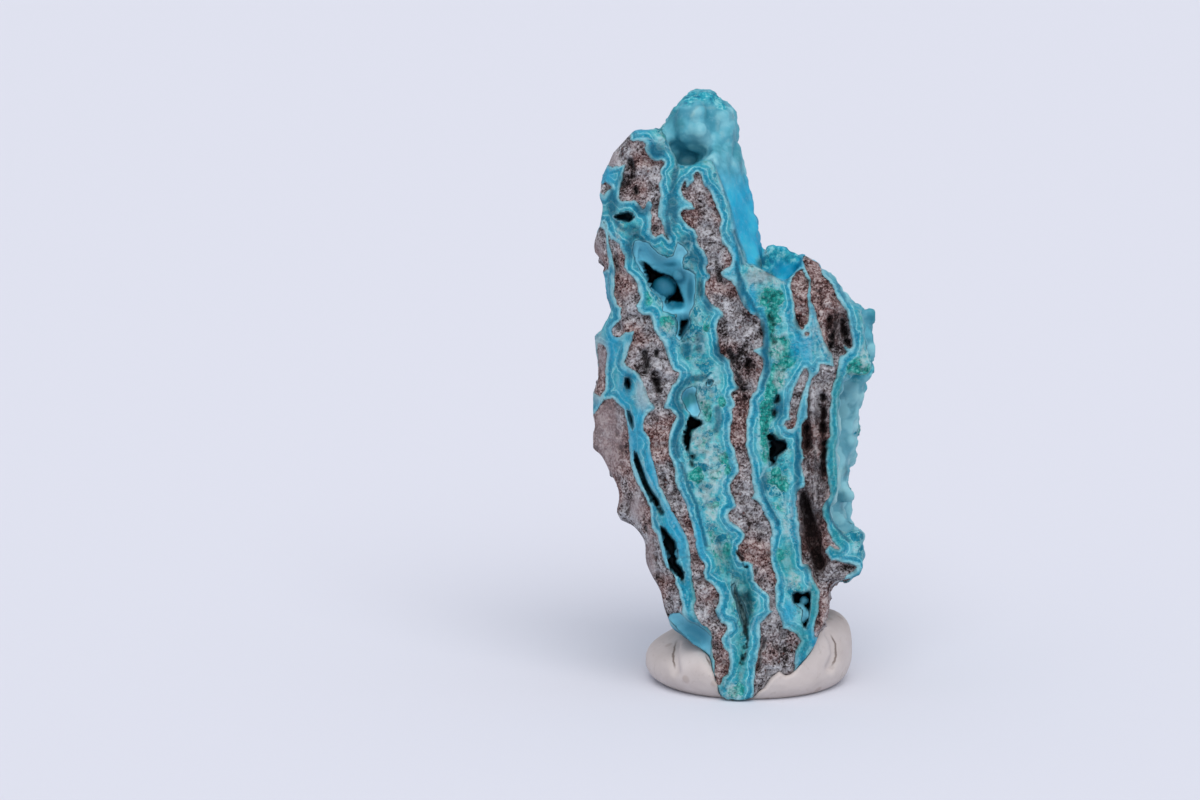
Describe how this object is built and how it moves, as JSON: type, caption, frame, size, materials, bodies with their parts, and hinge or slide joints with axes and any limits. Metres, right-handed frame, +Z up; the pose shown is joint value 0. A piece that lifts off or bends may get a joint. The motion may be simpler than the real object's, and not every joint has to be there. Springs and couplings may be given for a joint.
{
  "type": "mineral specimen on putty",
  "caption": "Upright broken piece of banded blue-green and brown vein stone with rounded growths and lined hollows, pressed into a low disc of mounting putty.",
  "frame": {"origin": "middle of the putty's flat underside, on the surface it stands on", "axes": "+Z up, +X to the right of the broken face, +Y into the stone, away from that face"},
  "size_m": [0.0236, 0.0212, 0.0491],
  "materials": {
    "banded_stone": "waxy blue-green layers between dull brown granular rock",
    "putty": "matt, soft"
  },
  "bodies": {
    "root": {"hemimorphite_stone": "banded_stone", "putty_base": "putty"}
  },
  "joints": []
}
